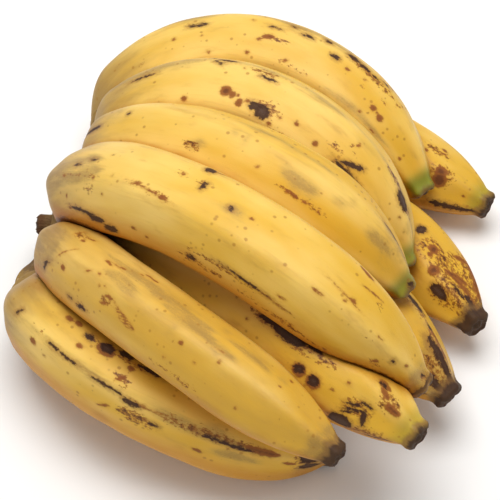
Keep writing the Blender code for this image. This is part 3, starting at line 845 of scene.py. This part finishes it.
def crown_material():
    """Dried plantain stalk, cut with a knife: woody fibre with hardly a shine. A brown pad that turns olive
    and tan towards the necks, and is nearly black where the stalk was cut."""
    found = bpy.data.materials.get("Dry plantain stalk")
    if found:
        return found
    material = bpy.data.materials.new("Dry plantain stalk")
    material.use_nodes = True
    tree = material.node_tree
    tree.nodes.clear()

    place = add(tree, "ShaderNodeTexCoord").outputs["Object"]
    sources = grown(tree, place, CROWN_PATTERNS)
    for name in ("neck", "cut"):
        sources[name] = add(tree, "ShaderNodeAttribute", attribute_name=name).outputs["Fac"]
    colour = painted(tree, sources, (*linear("#6E5230"), 1), CROWN_LAYERS)
    roughness = weighed(tree, sources, {"plain": 0.62, "fibres": 0.2})
    finish(tree, colour, roughness, weighed(tree, sources, {"fibres": 1.6, "grain": 0.8}), 0.8)
    return material


# The studio: what the camera and the lamp look at, the softbox's place from there, its sides in metres
# and its power in watts, the strength of the plain white sky, and how far the floor reaches each way.
TARGET = Vector((0.0004, -0.0053, 0.0431))
SOFTBOX_OFFSET = Vector((-0.12, 0.14, 1.25))
SOFTBOX_SIZE = (1.0, 0.8)
SOFTBOX_POWER = 14.4
SKY_STRENGTH = 0.43
FLOOR_REACH = 3


class PeelSettings(PropertyGroup):
    pale: FloatVectorProperty(
        name="Pale yellow", description="The peel's lighter colour", subtype="COLOR", default=linear("#F2CB6C")
    )
    gold: FloatVectorProperty(
        name="Gold", description="The peel's deeper colour", subtype="COLOR", default=linear("#E2B036")
    )


class StageSettings(PropertyGroup):
    azimuth: FloatProperty(
        name="Azimuth", description="The camera's turn around the hand", subtype="ANGLE", default=radians(30)
    )
    elevation: FloatProperty(
        name="Elevation", description="The camera's height angle", subtype="ANGLE", default=radians(54)
    )
    distance: FloatProperty(
        name="Distance", description="From the camera to the hand", subtype="DISTANCE", default=0.9
    )
    focal_length: FloatProperty(
        name="Focal length", description="Of the camera, in millimetres", default=129.6
    )
    floor_colour: FloatVectorProperty(
        name="Floor", description="The floor's colour", subtype="COLOR", default=linear("#FCFBF9")
    )


class PLANTAIN_OT_outer_row(Operator):
    """Build the six fingers of the outer row"""

    bl_idname = "plantain.outer_row"
    bl_label = "Outer Row"

    def execute(self, context):
        build_row(OUTER_ROW, 1.0)
        return {"FINISHED"}


class PLANTAIN_OT_inner_row(Operator):
    """Build the five fingers of the inner row"""

    bl_idname = "plantain.inner_row"
    bl_label = "Inner Row"

    def execute(self, context):
        build_row(INNER_ROW, 9.0)
        return {"FINISHED"}


class PLANTAIN_OT_crown(Operator):
    """Build the woody crown and its stub of stalk"""

    bl_idname = "plantain.crown"
    bl_label = "Crown"

    def execute(self, context):
        build_crown()
        build_stub()
        return {"FINISHED"}


class PLANTAIN_OT_stage(Operator):
    """Lay the floor, and set up the studio light and the camera"""

    bl_idname = "plantain.stage"
    bl_label = "Studio"

    def execute(self, context):
        settings = context.scene.plantain_stage
        scene = context.scene
        scene.view_settings.view_transform = "Standard"
        mesh = bpy.data.meshes.new("floor")
        reach = FLOOR_REACH
        corners = [(-reach, -reach, 0), (reach, -reach, 0), (reach, reach, 0), (-reach, reach, 0)]
        mesh.from_pydata(corners, [], [(0, 1, 2, 3)])
        floor = bpy.data.objects.new("floor", mesh)
        scene.collection.objects.link(floor)
        material = bpy.data.materials.new("Matt pale card")
        material.use_nodes = True
        shader = material.node_tree.nodes["Principled BSDF"]
        shader.inputs["Base Color"].default_value = (*settings.floor_colour, 1)
        shader.inputs["Roughness"].default_value = 0.9
        mesh.materials.append(material)
        world = bpy.data.worlds.new("Studio")
        world.use_nodes = True
        background = world.node_tree.nodes["Background"]
        background.inputs["Color"].default_value = (1, 1, 1, 1)
        background.inputs["Strength"].default_value = SKY_STRENGTH
        scene.world = world
        lamp = bpy.data.lights.new("softbox", "AREA")
        lamp.shape = "RECTANGLE"
        lamp.size, lamp.size_y = SOFTBOX_SIZE
        lamp.energy = SOFTBOX_POWER
        box = bpy.data.objects.new("softbox", lamp)
        box.location = TARGET + SOFTBOX_OFFSET
        box.rotation_mode = "QUATERNION"
        box.rotation_quaternion = (box.location - TARGET).to_track_quat("Z", "Y")
        scene.collection.objects.link(box)
        lens = bpy.data.cameras.new("camera")
        lens.lens = settings.focal_length
        lens.sensor_width = 36
        camera = bpy.data.objects.new("camera", lens)
        a, e = settings.azimuth, settings.elevation
        back = Vector((sin(a) * cos(e), -cos(a) * cos(e), sin(e)))
        camera.location = TARGET + settings.distance * back
        camera.rotation_mode = "QUATERNION"
        camera.rotation_quaternion = back.to_track_quat("Z", "Y")
        scene.collection.objects.link(camera)
        scene.camera = camera
        return {"FINISHED"}


class PLANTAIN_PT_panel(Panel):
    bl_label = "Plantains"
    bl_idname = "PLANTAIN_PT_panel"
    bl_space_type = "VIEW_3D"
    bl_region_type = "UI"
    bl_category = "Plantains"

    def draw(self, context):
        for step in STEPS:
            self.layout.operator(step.bl_idname)


STEPS = (PLANTAIN_OT_outer_row, PLANTAIN_OT_inner_row, PLANTAIN_OT_crown, PLANTAIN_OT_stage)
SETTINGS = {"plantain_peel": PeelSettings, "plantain_stage": StageSettings}


def register():
    for kind in (*SETTINGS.values(), *STEPS, PLANTAIN_PT_panel):
        bpy.utils.register_class(kind)
    for name, group in SETTINGS.items():
        setattr(bpy.types.Scene, name, PointerProperty(type=group))


def unregister():
    for name in SETTINGS:
        delattr(bpy.types.Scene, name)
    for kind in (PLANTAIN_PT_panel, *STEPS[::-1], *SETTINGS.values()):
        bpy.utils.unregister_class(kind)


def main():
    register()
    bpy.ops.plantain.outer_row()
    bpy.ops.plantain.inner_row()
    bpy.ops.plantain.crown()
    bpy.ops.plantain.stage()


if __name__ == "__main__":
    main()
